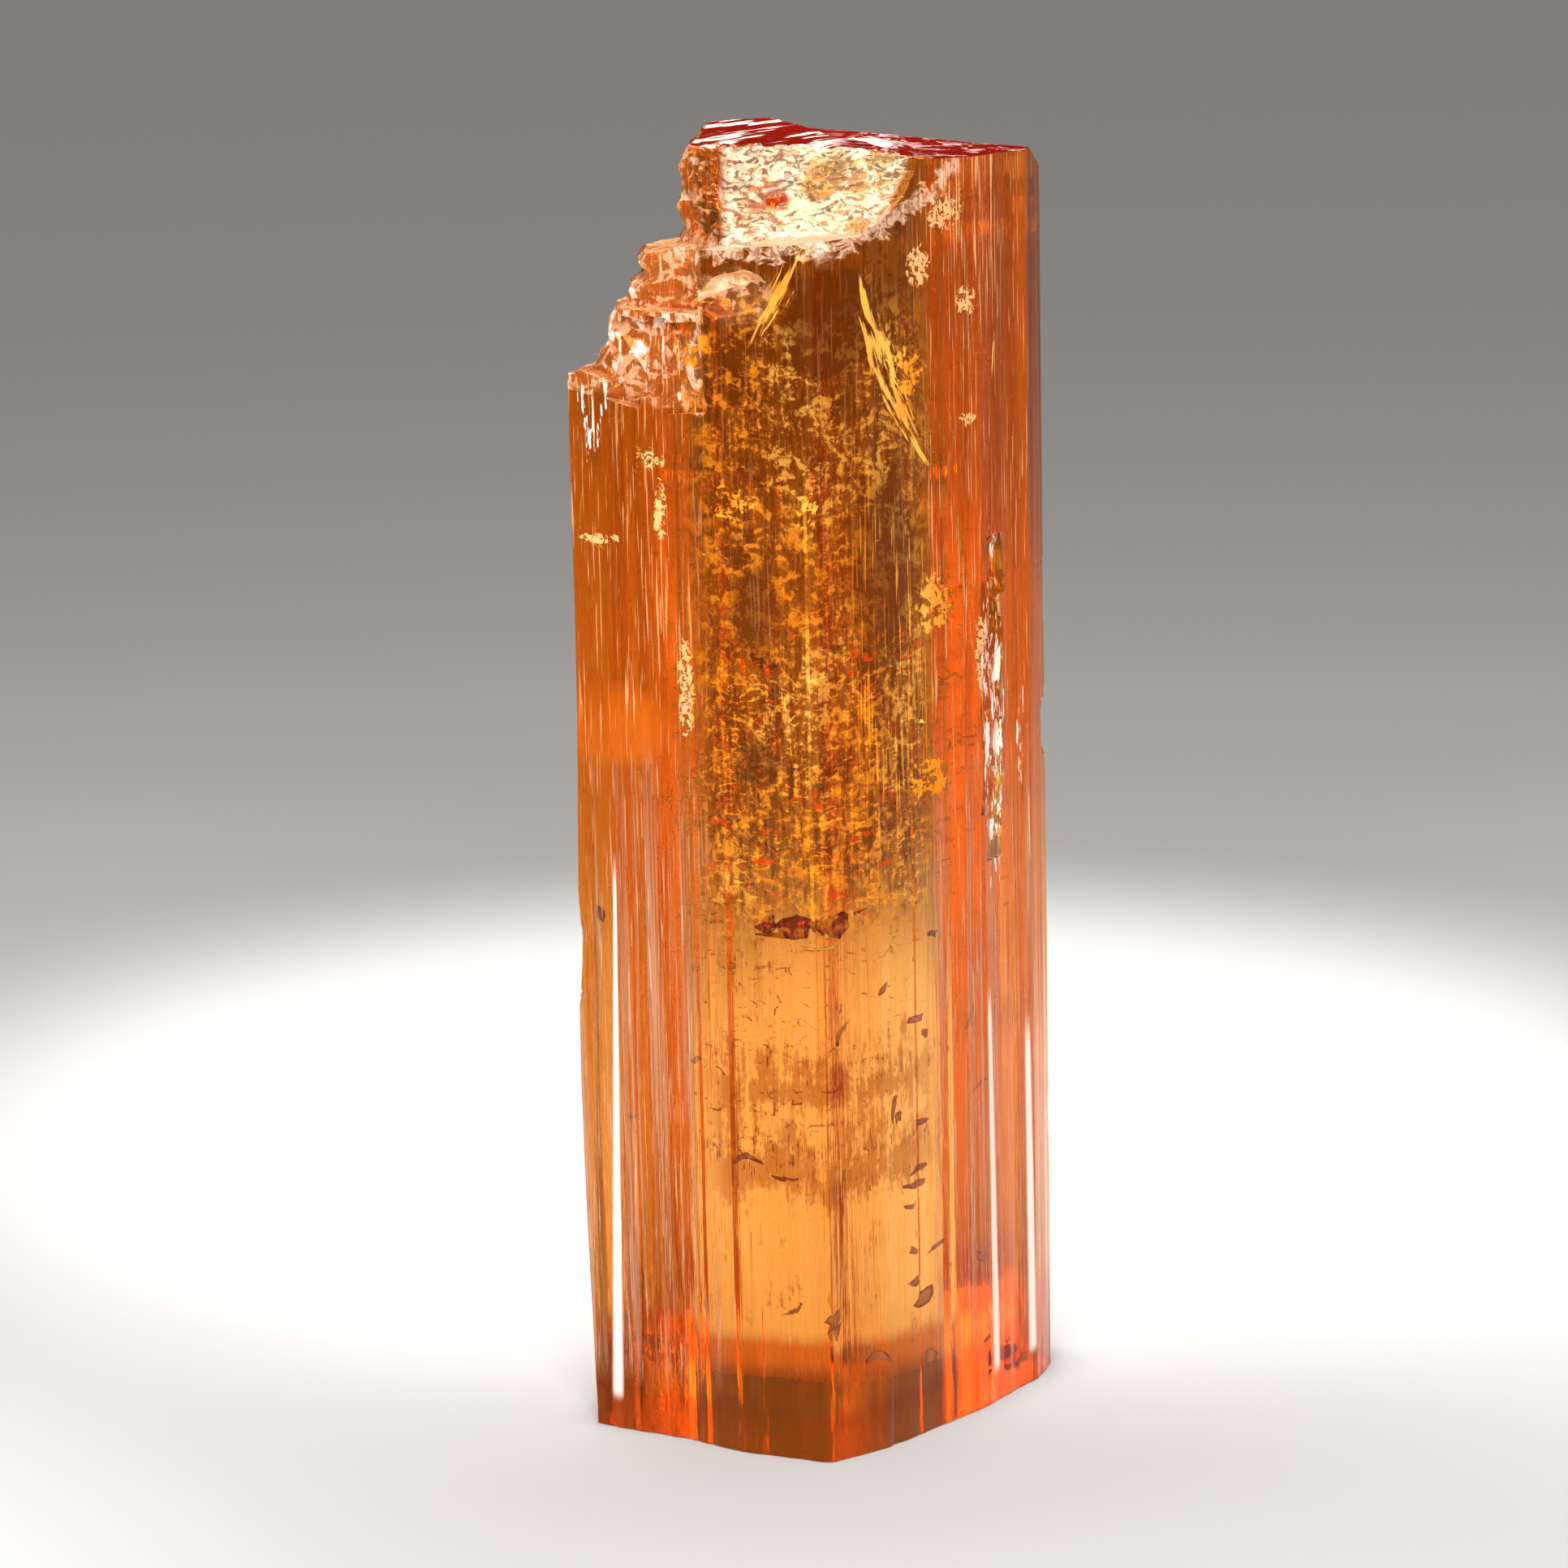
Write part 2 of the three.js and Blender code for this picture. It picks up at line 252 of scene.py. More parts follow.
torn = (1 - skin) * eased(points[:, 2], BROKEN, BROKEN + 0.5 * MM)
px, py, pz = (points / MM).T
in_bowl = torn * eased(-py, 2.4, 3.2) * eased(pz, 42.6, 43.2) * eased(px, -3.9, -3.3)
points = rounded(points, triangles, 0.7 * in_bowl * (outer - radius > 0.5 * MM), 14)
normals = point_normals(points, triangles)
level_face = eased(np.abs(normals[:, 2]), 0.9, 0.98)
grain = np.zeros(len(points))
for index in np.nonzero(torn > 0)[0]:
    spot = Vector(points[index] / MM)
    rough = noise.fractal(spot * 1.3, 0.7, 2.1, 4) * 0.05
    chip = noise.voronoi(spot * 1.7)[1][0]
    rough += (spot * 1.7 - chip).dot(noise.noise_vector(chip * 5.7)) * (0.1 + 0.1 * in_bowl[index])
    flat = level_face[index] * (1 - in_bowl[index])
    reach = (spot - Vector((-2.5, -3.5, 47.0))).length
    ripple = 0.03 * math.sin(11 * reach + 4 * noise.noise(spot * 0.6)) * in_bowl[index]
    grain[index] = (rough * (1 - 0.85 * flat) + ripple) * torn[index]
points = points + normals * grain[:, None] * MM

# The base is one flat face inside the rim of the side faces.
sides = np.sort(triangle_sides(triangles), axis=1)
sides, uses = np.unique(sides, axis=0, return_counts=True)
rim = np.unique(sides[uses == 1])
rim = rim[np.argsort(-theta[rim])]
skin_mesh = bpy.data.meshes.new("crystal_body")
skin_mesh.from_pydata(points.tolist(), [], triangles.tolist() + [rim.tolist()])
work = bmesh.new()
work.from_mesh(skin_mesh)
bmesh.ops.dissolve_degenerate(work, dist=0.006 * MM, edges=work.edges)
# Slivers that the joining leaves open are taken out, and the holes filled again.
for _ in range(5):
    open_edges = [e for e in work.edges if len(e.link_faces) != 2]
    if not open_edges:
        break
    around = {f for e in open_edges for v in e.verts for f in v.link_faces if len(f.verts) < 20}
    bmesh.ops.delete(work, geom=list(around), context="FACES")
    bmesh.ops.delete(work, geom=[e for e in work.edges if not e.link_faces], context="EDGES")
    bmesh.ops.delete(work, geom=[v for v in work.verts if not v.link_edges], context="VERTS")
    filled = bmesh.ops.holes_fill(work, edges=[e for e in work.edges if e.is_boundary], sides=0)
    bmesh.ops.triangulate(work, faces=filled["faces"])
work.to_mesh(skin_mesh)
work.free()
skin_mesh.shade_smooth()
skin_mesh.set_sharp_from_angle(angle=math.radians(STRIP_EDGE))
crystal = bpy.data.objects.new("crystal_body", skin_mesh)
bpy.context.scene.collection.objects.link(crystal)


def plain_material(name, sockets):
    """A material whose shader has the values given."""
    made = bpy.data.materials.new(name)
    made.use_nodes = True
    for socket, value in sockets.items():
        made.node_tree.nodes["Principled BSDF"].inputs[socket].default_value = value
    return made


class Wire:
    """One output in a material's nodes. Sums written with it add the Math nodes that work them out."""

    def __init__(self, tree, socket=None):
        self.tree = tree
        self.socket = socket

    def node(self, kind, settings, sockets, output=0):
        made = self.tree.nodes.new("ShaderNode" + kind)
        for name, value in settings.items():
            setattr(made, name, value)
        for name, value in sockets.items():
            if isinstance(value, Wire):
                self.tree.links.new(value.socket, made.inputs[name])
            else:
                made.inputs[name].default_value = value
        return Wire(self.tree, made.outputs[output])

    def sum(self, operation, first, second):
        return self.node("Math", {"operation": operation}, {0: first, 1: second})

    def __add__(self, other):
        return self.sum("ADD", self, other)

    __radd__ = __add__

    def __sub__(self, other):
        return self.sum("SUBTRACT", self, other)

    def __rsub__(self, other):
        return self.sum("SUBTRACT", other, self)

    def __mul__(self, other):
        return self.sum("MULTIPLY", self, other)

    __rmul__ = __mul__

    def __truediv__(self, other):
        return self.sum("DIVIDE", self, other)

    def __pow__(self, other):
        return self.sum("POWER", self, other)

    def least(self, other):
        return self.sum("MINIMUM", self, other)

    def most(self, other):
        return self.sum("MAXIMUM", self, other)

    def eased(self, low, high):
        """0 below one value and 1 above the other. With the greater one first, it falls instead."""
        settings = {"interpolation_type": "SMOOTHSTEP"}
        return self.node("MapRange", settings, {"Value": self, "From Min": low, "From Max": high})

    def between(self, start, full, fading, end):
        """1 in the middle, easing in from start to full and out from fading to end."""
        return self.eased(start, full) * (1 - self.eased(fading, end))

    def mixed(self, first, second):
        """The first colour where this is 0, and the second where it is 1."""
        settings = {"data_type": "RGBA"}
        return self.node("Mix", settings, {"Factor": self, "A": first, "B": second}, "Result")

    def stretched(self, scale):
        """This place with its x, y and z multiplied, so that a noise there has finer marks."""
        return self.node("VectorMath", {"operation": "MULTIPLY"}, {0: self, 1: scale})

    def noise(self, detail, roughness=0.5, twist=0):
        sockets = {"Vector": self, "Scale": 1, "Detail": detail, "Roughness": roughness}
        return self.node("TexNoise", {}, {**sockets, "Distortion": twist})


CLEAR_STONE = {
    "Transmission Weight": 1,
    "IOR": 1.62,
    "Roughness": 0,
    "Specular Tint": (1, 0.42, 0.08, 1),
}
DARK_STREAK = (0.24, 0.05, 0.012, 1)
topaz = plain_material("clear_topaz", CLEAR_STONE)
tree = topaz.node_tree
clear = tree.nodes["Principled BSDF"]
output = tree.nodes["Material Output"]
absorption = Wire(tree).node("VolumeAbsorption", {}, {"Color": (0.985, 0.65, 0.035, 1), "Density": 200})
tree.links.new(absorption.socket, output.inputs["Volume"])

# Places are in millimetres. Each noise is drawn out along the way that its marks run: the first three
# are grooves and scratches up the prism, and the others are crumbs, curls, splinters and clouds.
here = Wire(tree).node("TexCoord", {}, {}, "Object").stretched((1000, 1000, 1000))
x, y, z = (here.node("SeparateXYZ", {}, {"Vector": here}, axis) for axis in "XYZ")
fine = here.stretched((9, 9, 0.09)).noise(2, 0.6)
broad = here.stretched((1.5, 1.5, 0.04)).noise(2)
scratch = here.stretched((12, 12, 0.35)).noise(2, 0.6)
cloud = here.stretched((0.26, 0.26, 0.12)).noise(2)
crumbs = here.stretched((1.1, 0.9, 1.6)).noise(3, 0.68, 0.9)
grit = here.stretched((3.4, 3.4, 3.0)).noise(2, 0.7, 1.0)
curls = here.stretched((1.4, 1.0, 3.0)).noise(3, 0.64, 1.8)
shards = here.stretched((3.6, 3.6, 0.55)).noise(3, 0.72)
smoke = here.stretched((0.6, 0.6, 0.6)).noise(2, 0.6)

# Where a place is: on a level face, in front, beside the wide front faces, or on the broken end
facing_up = here.node("SeparateXYZ", {}, {"Vector": here.node("NewGeometry", {}, {}, "Normal")}, "Z")
level = facing_up.eased(0.8, 0.95)
ahead = 1 - y.eased(1, 1.5)
flank = (x * x).eased(10, 20)
broken = (facing_up * facing_up).eased(0.02, 0.1) * (1 - level) * z.eased(30, 34)
# How deep the bowl lies behind the two wide front faces
behind_face = (7.15 + 0.402 * x + 0.916 * y).least(5.75 - 0.754 * x + 0.657 * y)
bowl = behind_face.eased(0.3, 0.6) * (1 - level) * z.eased(41.7, 42.4)
bowl = bowl * x.between(-2.9, -2.5, 4.9, 5.3) * ahead
ledges = (1 - x.eased(-3.6, -3.1)) * (z + x * 0.15).eased(35.8, 36.6) * ahead * (1 - level)
# Convex ridges, which get crushed edge wear and a painted highlight along them
edges = here.node("NewGeometry", {}, {}, "Pointiness").eased(0.515, 0.56)


def oval(across, up, half_width, half_height):
    """A soft-edged oval on the front side faces."""
    u, v = (x - across) / half_width, (z - up) / half_height
    return (1 - (u * u + v * v).eased(0.2, 1)) * ahead


def ovals(places):
    """Soft-edged ovals, added up."""
    total = oval(*places[0])
    for place in places[1:]:
        total = total + oval(*place)
    return total


def edge_line(foot, lean, top, foot_width, top_width):
    """A line up the front side faces: where its foot is, how far it leans over its height, where it
    ends, and its half width at the foot and there."""
    width = foot_width + (top_width - foot_width) * z / top
    beside = (x - (foot + lean * z / top)) / width
    return (1 - (beside * beside).eased(0, 1.7)) * z.between(0.9, 1.5, top - 2, top) * ahead


# Where the surface is broken as fine as powder it scatters light, and the same layer carries painted
# light. First painted highlights where the prism's own edges are bevelled, then the tear down its right
# side and the crack at its upper left, whose white splinters are partly painted glints.
painted_edge_highlights = edge_line(-7.5, 0.46, 21.4, 0.2, 0.05) + edge_line(6.27, -0.14, 16, 0.13, 0.07)
painted_edge_highlights = painted_edge_highlights + edge_line(7.7, -0.1, 14.4, 0.16, 0.1)
torn_strip = oval(6.4, 25.2, 0.5, 7.5) + 0.8 * oval(7.5, 23.8, 0.28, 2.6)
tear = (torn_strip.least(1) * 0.14 + shards).eased(0.645, 0.69) * torn_strip.eased(0, 0.2)
gash = oval(-7.35, 37.1, 0.75, 1.0) + oval(-7.4, 35.9, 0.4, 1.7)
split = (gash.least(1) * 0.14 + shards).eased(0.66, 0.7) * gash.eased(0, 0.2)
painted_glints = painted_edge_highlights + tear * 0.9 + split * 0.95

# Small places on the side faces where scales have come off, and facets that face down, paled as a
# painted reflection of the bright floor
chips = ovals(
    [
        (-5.45, 35.15, 0.62, 0.42),
        (-7.2, 32.35, 0.9, 0.22),
        (5.62, 36.1, 0.36, 0.34),
        (-4.35, 27.3, 0.36, 2.2),
        (-5.1, 33.4, 0.3, 1.4),
        (4.85, 43.3, 0.7, 0.8),
        (3.9, 41.6, 0.5, 0.9),
        (5.6, 40.2, 0.5, 0.6),
        (6.0, 27.8, 0.3, 1.6),
    ]
)
chips = (chips * 0.16 + grit).eased(0.62, 0.66) * chips.eased(0.05, 0.3)
painted_underside_reflection = (0 - facing_up).eased(0.2, 0.5) * ahead * z.eased(3, 5)

# Pale streaks up the side faces: low down a painted reflection of the bright floor in the grooves, and
# scratches all the way up, with close ones in the crushed upper right corner
streaky = ahead * z.eased(1.5, 3)
painted_floor_reflection = (fine * 0.5 + broad * 0.5).eased(0.46, 0.66) * flank * (1 - z.eased(19, 27)) * streaky
scratches = scratch.eased(0.58, 0.68) * (0.2 + 0.8 * flank) * (1 + 0.6 * z.eased(24, 28)) * streaky
corner = z.eased(37, 44) * x.between(4.4, 5.2, 6.6, 7) * ahead
scratches = scratches + scratch.eased(0.5, 0.62) * corner
pink = painted_floor_reflection * 0.32 + scratches * 0.3 + chips * 0.8 + painted_underside_reflection * 0.6

# The broken end: crumbled ledges, the bowl, the crushed lip under it, and a shell-shaped scar
right = x.most(0)
lip = (z - 42.45 - 0.087 * right * right + 2.2 * (crumbs - 0.5)) / 0.36
lip = (1 - (lip * lip).eased(0.1, 1)) * (0.4 + 0.6 * grit.eased(0.44, 0.52))
lip = lip * x.between(-3.6, -3, 5.2, 5.6) * ahead
clot = (smoke + 0.08 - 0.035 * x).eased(0.38, 0.56)
ragged = ledges * (ledges + 2 * (crumbs - 0.5)).eased(0.5, 0.9)
chipped = (crumbs * 0.7 + shards * 0.3).eased(0.5, 0.57)
# On convex ridges the white is crushed edge wear and a painted highlight along them
crushed = ragged * (0.08 + 0.4 * chipped + 0.5 * edges) * (1 - 0.4 * z.eased(42, 43))
crushed = crushed + bowl * (0.1 + (0.1 + 0.42 * clot) * curls.eased(0.45, 0.52) + 0.3 * edges)
crushed = crushed + lip * 0.5 + oval(-2.3, 40.9, 1.5, 1.2) * (1 - bowl) * (0.05 + 0.35 * chipped)

# Painted reflections over the level top: dark red, with white streaks where cleavage steps cross it and
# one painted highlight; and painted light from above on the level ledges
turned = here.node("VectorRotate", {"rotation_type": "Z_AXIS"}, {"Vector": here, "Angle": -1.08})
steps = turned.stretched((0.22, 1.6, 1)).noise(2, 0.6)
top = level * z.eased(44, 44.5)
painted_gleam = x - 2.5
painted_gleam = 1 - (painted_gleam * painted_gleam + ((y - 2) / 2.6) ** 2 + 4 * (crumbs - 0.5)).eased(0.4, 1)
painted_top_streaks = steps.eased(0.52, 0.6) * (1 - x.eased(0.5, 2)) * 0.8 + painted_gleam
painted_top_streaks = painted_top_streaks + 0.4 * crumbs.eased(0.52, 0.6) * x.eased(0, 3)
painted_top = top * 0.96
painted_ledge_light = level * z.between(30, 34, 44, 44.5) * (0.2 + 0.5 * crumbs.eased(0.45, 0.6))

# Gold just under the wide front faces: threads, dust, fine upright lines and one seam up the middle
window = (1 - flank) * ahead * (1 - bowl)
threads = (curls * 0.65 + shards * 0.35).eased(0.55, 0.6)
crowd = z.eased(18.6, 20.5) * (1 - z.eased(27, 30) * 0.75) * (1 - z.eased(38.5, 40.5))
dust = (crumbs * 0.5 + grit * 0.3 + shards * 0.2).eased(0.5, 0.57) * z.between(18, 20, 39, 41.5)
striae = scratch.eased(0.57, 0.66) * x.eased(1, 2) * z.between(20, 24, 32, 35)
seam = (x + 0.15) / 0.07
seam = (1 - (seam * seam).eased(0.4, 1)) * z.between(18.5, 20, 33, 36)
seam = seam * (0.25 + crumbs.eased(0.4, 0.6))
# Places in the window that are almost black
dark = ovals(
    [(2.5, 31.4, 1.5, 3.6), (-1.9, 30.2, 1.1, 1.9), (0.9, 40.0, 2.0, 2.4), (-1.9, 24.9, 0.9, 1.0)]
)
# The long bright crack at the upper right, bowed a little, and widest half way down
PLUME_TOP, PLUME_LENGTH = 41.6, 6.9
down = (PLUME_TOP - z).most(0).least(PLUME_LENGTH)
bow = down * (PLUME_LENGTH - down)
aside = x - 1.85 - 0.333 * down + 0.027 * bow
fibres = here.node("CombineXYZ", {}, {"X": aside * 5, "Y": 0, "Z": z * 0.7}).noise(2, 0.7, 0.4)
plume = aside / (0.07 + 0.0028 * bow * bow)
plume = 1 - (plume * plume + 9 * (fibres - 0.47)).eased(0.3, 1)
plume = plume * z.between(34.6, 35, 41.2, PLUME_TOP) * ahead
clusters = ovals([(3.4, 38.0, 0.75, 1.1), (4.35, 29.8, 0.85, 1.3), (4.0, 23.7, 0.8, 1.0)])
clusters = clusters + 0.8 * ovals([(-2.6, 33.9, 1.0, 0.8), (-0.1, 33.7, 0.6, 0.8)])
clustered = (clusters * 0.16 + grit * 0.5 + crumbs * 0.5).eased(0.62, 0.67)
clusters = clustered * clusters.eased(0.05, 0.3) * (1 - bowl)
# A small twisted leaf of the same kind, at the left
leaf = x + 0.95 - 0.5 * (z - 40.9)
veins = here.node("CombineXYZ", {}, {"X": leaf * 5, "Y": 1, "Z": z * 0.6}).noise(2, 0.7, 0.6)
leaf = 1 - ((leaf / 0.4) ** 2 + ((z - 40.9) / 1.3) ** 2 + 9 * (veins - 0.46)).eased(0.3, 1)
golden = (threads * crowd * 0.8 + dust * 0.6) * (1 - 0.75 * dark.least(1))
golden = window * (golden + striae * 0.7 + seam * 0.6 + leaf * ahead) + plume * 1.4 + clusters

# Red embers among the gold, and a painted glow: deep orange powder up the flanks, on one spot at the
# left and in the window, standing in for light that comes back out of the stone
embers = (1 - crumbs).eased(0.6, 0.66) * z.between(18, 20, 28, 31) * window
painted_glow = oval(-6.9, 25.8, 2.6, 1.7) * (broad * 0.5 + cloud * 0.5).eased(0.4, 0.6) * 0.3
painted_glow = painted_glow + (0.13 + 0.2 * x.eased(7, 8)) * flank * z.eased(18, 27) * ahead
painted_glow = painted_glow + 0.04 * window * z.eased(24, 30)
detail = painted_glints + pink + crushed + painted_top + painted_ledge_light + golden * 0.6
powder_and_painted_light = (detail + embers * 0.5 + painted_glow).least(0.97)

# The powder's colour: white in the painted highlights and glints, peach to orange up the sides and on
# the ledges, cream in the bowl, the painted dark red and white streaks on the top, and gold in the
# window
tone = z.eased(18, 30).mixed((1, 0.63, 0.38, 1), (1, 0.52, 0.22, 1))
tone = (painted_glints * 2 + crushed).least(1).mixed(tone, (1, 0.85, 0.74, 1))
tone = (ledges * (1 - edges) * (1 - 0.6 * chipped)).mixed(tone, (1, 0.42, 0.14, 1))
tone = bowl.mixed(tone, clot.mixed((0.85, 0.6, 0.28, 1), (1, 0.86, 0.6, 1)))
tone = top.mixed(tone, painted_top_streaks.eased(0, 0.8).mixed((0.2, 0.006, 0.003, 1), (1, 0.74, 0.66, 1)))
red_spot = oval(-0.9, 43.9, 0.6, 0.45) * curls.eased(0.4, 0.5)
tone = red_spot.mixed(tone, (0.4, 0.005, 0.005, 1))
gold = cloud.eased(0.4, 0.6).mixed((1, 0.3, 0.015, 1), (1, 0.5, 0.08, 1))
tone = (golden * 3).eased(0, 0.5).mixed(tone, gold)
deep = embers.mixed((1, 0.2, 0.008, 1), (0.8, 0.04, 0.005, 1))
tone = (detail / powder_and_painted_light.most(0.001)).least(1).mixed(deep, tone)
chalk_and_painted_light = here.node("BsdfPrincipled", {}, {"Base Color": tone, "Roughness": 0.5, "Specular IOR Level": 0})
front_face = here.node("MixShader", {}, {0: powder_and_painted_light, 1: Wire(tree, clear.outputs[0]), 2: chalk_and_painted_light})

# The clear stone is more deeply coloured in its upper half and in some fine streaks, and is painted
# darker at its foot as painted shade
upper = (z + cloud * 8).eased(19, 29) * (1 - broken) * (1 - 0.6 * ledges)
pale = flank.mixed((1, 1, 1, 1), (1, 0.9, 0.55, 1))
deeper = flank.mixed((1, 0.52, 0.1, 1), (1, 0.66, 0.1, 1))
zoning_and_painted_shade = upper.mixed(pale, deeper)
# A deeper tint under the painted glow at the left
zoning_and_painted_shade = oval(-6.9, 25.8, 1.9, 1.1).mixed(zoning_and_painted_shade, (1, 0.5, 0.06, 1))
# Darkened places in the upper half of the window, and two hazy bands in its lower half
dark = (dark + 3 * (shards - 0.5) + 1.5 * (cloud - 0.5)).eased(0.3, 0.9) * dark.eased(0, 0.3)
window_darkening = smoke.eased(0.5, 0.64) * window * z.eased(19, 22)
mottle = (crumbs * 0.3 + shards * 0.45 + grit * 0.25).eased(0.52, 0.44) * window * z.eased(18, 21)
zoning_and_painted_shade = (window_darkening * 0.6 + mottle * 0.8 + dark * 0.9).least(0.95).mixed(zoning_and_painted_shade, (0.12, 0.035, 0.02, 1))
bands = 0.1 * z.between(8.6, 9.6, 14, 16) + 0.08 * (1 - ((z - 10.3) / 0.7) ** 2).most(0)
bands = bands + 0.06 * (1 - ((z - 13.3) / 0.5) ** 2).most(0)
haze = (shards * 0.5 + grit * 0.2 + smoke * 0.3 + bands).eased(0.55, 0.65) * window
zoning_and_painted_shade = (haze * 0.9).mixed(zoning_and_painted_shade, (0.34, 0.13, 0.05, 1))
# Painted shade: the stone is darkened to orange-brown at its foot, where the base meets the floor
painted_rim_height = 1.3 + 1.2 * broad + 1.2 * flank * x.eased(0, 6)
zoning_and_painted_shade = (1 - (z / painted_rim_height).eased(0.7, 1.15)).mixed(zoning_and_painted_shade, (0.66, 0.18, 0.04, 1))
streak = (fine * 0.25 + broad * 0.45 + scratch * 0.3).eased(0.45, 0.58) * (0.2 + 0.7 * flank)
tinted = streak.mixed(zoning_and_painted_shade, DARK_STREAK)
# Painted shade in the groove of the tear between its splinters, and a painted grey reflection in the
# crack at the upper left
painted_groove_shade = torn_strip * (1 - shards.eased(0.4, 0.46)) * (1 - z.eased(28, 30))
tinted = painted_groove_shade.mixed(tinted, (0.2, 0.08, 0.05, 1))
tinted = (gash * 0.9).least(0.9).mixed(tinted, (0.22, 0.16, 0.15, 1))
# The top's clear stone is tinted red as part of the painted reflection there
tinted = top.mixed(tinted, (0.7, 0.06, 0.03, 1))
tree.links.new(tinted.socket, clear.inputs["Base Color"])

# Fine grooves up the sides, and fine cleavage steps across the level break
relief = {"Strength": 0.4, "Distance": 0.02 * MM}
ridges = here.node("Bump", {}, {**relief, "Height": fine * (1 - level) + steps * level})
tree.links.new(ridges.socket, clear.inputs["Normal"])

# The back and the base are the same stone without the marks that only the front has
zoning_and_painted_shade = (z + 4).eased(19, 29).mixed(pale, deeper)
# The same painted shade at the foot
zoning_and_painted_shade = (1 - (z / (1.2 + broad)).eased(0.7, 1.15)).mixed(zoning_and_painted_shade, (0.5, 0.12, 0.02, 1))
streak = (fine * 0.4 + broad * 0.6).eased(0.45, 0.6) * (0.2 + 0.7 * flank)
sockets = {"Base Color": streak.mixed(zoning_and_painted_shade, DARK_STREAK)}
sockets["Normal"] = here.node("Bump", {}, {**relief, "Height": fine})
back_face = here.node("BsdfPrincipled", {}, {**CLEAR_STONE, **sockets})
in_front = here.sum("LESS_THAN", y, 1.5) * here.sum("GREATER_THAN", z, 0.05)
in_front = in_front.most(here.sum("GREATER_THAN", z, 36))
whole = here.node("MixShader", {}, {0: in_front, 1: back_face, 2: front_face})
tree.links.new(whole.socket, output.inputs["Surface"])
skin_mesh.materials.append(topaz)
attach(crystal, "root")
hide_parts("topaz_crystal")


# ---- Golden veils ----
# Healed cracks deep in the stone. Each is a sheet of thin, curled, silvery films, which light up gold
# behind the orange stone. They crowd the middle of the prism and thin out above.


def flakes_object(name, flakes, rng, ring=7):
    """One object of thin ragged lenses. A flake is its centre, its normal, its long direction, its
    length, width and thickness in millimetres, how ragged its rim is and how much it curls."""
    points, faces = [], []
    for centre, normal, along, length, width, thickness, ragged, curl in flakes:
        normal = np.array(normal) / np.linalg.norm(normal)
        along = np.array(along) - np.dot(along, normal) * normal
        along /= np.linalg.norm(along)
        beside = np.cross(normal, along)
        start = len(points)
        angles = (np.arange(ring) + 0.5 * rng.random(ring)) * 2 * math.pi / ring
        reach = 1 - ragged * rng.random(ring)
        bend = curl * (rng.random(3) - 0.5)
        for share, lift in ((1, 0), (0.55, 1), (0.55, -1)):
            u, v = share * reach * np.cos(angles), share * reach * np.sin(angles)
            aside = v * width / 2 + bend[0] * length * u * u
            height = lift * thickness / 2 + bend[1] * width * v * v + bend[2] * length * u * u
            for k in range(ring):
                spot = centre + u[k] * length / 2 * along
                points.append(spot + aside[k] * beside + height[k] * normal)
        points.append(centre + 0.6 * thickness * normal)
        points.append(centre - 0.6 * thickness * normal)
        for k in range(ring):
            n = (k + 1) % ring
            faces.append([start + k, start + n, start + ring + n, start + ring + k])
            faces.append([start + n, start + k, start + 2 * ring + k, start + 2 * ring + n])
            faces.append([start + ring + k, start + ring + n, start + 3 * ring])
            faces.append([start + 2 * ring + n, start + 2 * ring + k, start + 3 * ring + 1])
    mesh = bpy.data.meshes.new(name)
    mesh.from_pydata((np.array(points) * MM).tolist(), [], faces)
    mesh.shade_smooth()
    made = bpy.data.objects.new(name, mesh)
    bpy.context.scene.collection.objects.link(made)
    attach(made, "root")
    return made


def within(x, y, z, margin=0.5):
    """True if a point, in millimetres, is well inside the stone."""
    *_, radius, outer = about_axis(np.array([[x, y, z]]) * MM)
    ceiling = 45.0 if x > -2.5 else 37.0 + (x + 8) * 0.8
    if y < -1.5 and x < 5:
        ceiling = min(ceiling, 41.6)
    return (outer - radius)[0] > margin * MM and 0.5 < z < ceiling


def under_face(x, z, depth):
    """The place, in millimetres, at a depth under the front side face at a given place across it."""
    theta = math.atan2(-6, x - AXIS)
    for _ in range(12):
        face = (np.searchsorted(turn, theta, side="right") - 1) % len(turn)
        outer = 1 / (slopes[face, 0] * math.cos(theta) + slopes[face, 1] * math.sin(theta)) / MM
        theta = math.atan2(math.sin(theta) * outer, x - AXIS)
    return np.array([x, outer * math.sin(theta) + depth, z])


rng = np.random.default_rng(23)
films = []
# How many sheets, how high their middle is, how far they spread from it, and the films in each
SHEETS = [(70, 24.0, 2.9, 20), (14, 30.0, 1.6, 14), (18, 36.0, 2.6, 9), (6, 16.5, 1.6, 7)]
VEIL_FOOT = 18.8  # the crowded veils end here, and the stone is clear below
for sheets, middle, spread, count in SHEETS:
    made = 0
    while made < sheets:
        across, up = rng.uniform(-3.9, 4.3), rng.normal(middle, spread)
        centre = under_face(across, up, 0.6 + 8 * rng.random() ** 2)
        if not within(*centre, 0.3) or centre[2] < VEIL_FOOT and middle > 20:
            continue
        made += 1
        facing = np.array([0.5 * rng.normal(), -1, 0.25 + 0.4 * rng.normal()])
        facing /= np.linalg.norm(facing)
        across = np.cross(facing, (0, 0, 1))
        upward = np.cross(across, facing)
        tilt = rng.normal(0, 0.5)
        for _ in range(count):
            u, v = rng.normal(0, 0.9), rng.normal(0, 0.45)
            spot = centre + u * across + (v + tilt * u) * upward + 0.12 * rng.normal() * facing
            if not within(*spot, 0.25):
                continue
            size = 0.1 + 0.42 * rng.random() ** 2
            along = across + (tilt + rng.normal(0, 0.6)) * upward
            normal = facing + rng.normal(0, 0.4, 3)
            width = (0.2 + 0.4 * rng.random()) * size
            films.append((spot, normal, along, 2.1 * size, width, 0.015, 0.6, 0.9))
